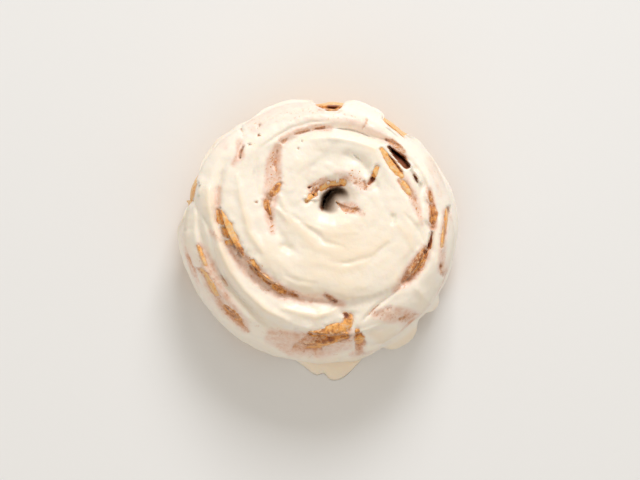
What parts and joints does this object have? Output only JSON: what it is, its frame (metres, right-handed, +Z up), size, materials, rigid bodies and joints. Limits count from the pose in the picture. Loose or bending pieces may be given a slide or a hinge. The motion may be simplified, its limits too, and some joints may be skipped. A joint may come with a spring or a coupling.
{
  "type": "cinnamon roll",
  "caption": "Large baked cinnamon roll: a strip of dough rolled into a spiral with cinnamon filling between its turns, spread with thick creamy icing that runs down the sides.",
  "frame": {"origin": "on the dough's flat underside, in the middle of the roll's foot", "axes": "+Z up out of the iced top, +Y away from the side where the icing has run into a pool, +X to the right of a viewer who looks along +Y"},
  "size_m": [0.1189, 0.1175, 0.0517],
  "materials": {
    "baked_dough": "soft baked crust, golden to brown, matt with a slight sheen of butter",
    "cinnamon_paste": "dark sugary cinnamon paste, moist and grainy",
    "vanilla_icing": "creamy white icing, smooth and softly glossy, thinner and tanned over the crowns"
  },
  "bodies": {
    "root": {"dough": "baked_dough", "cinnamon_filling": "cinnamon_paste", "icing": "vanilla_icing"}
  },
  "joints": []
}
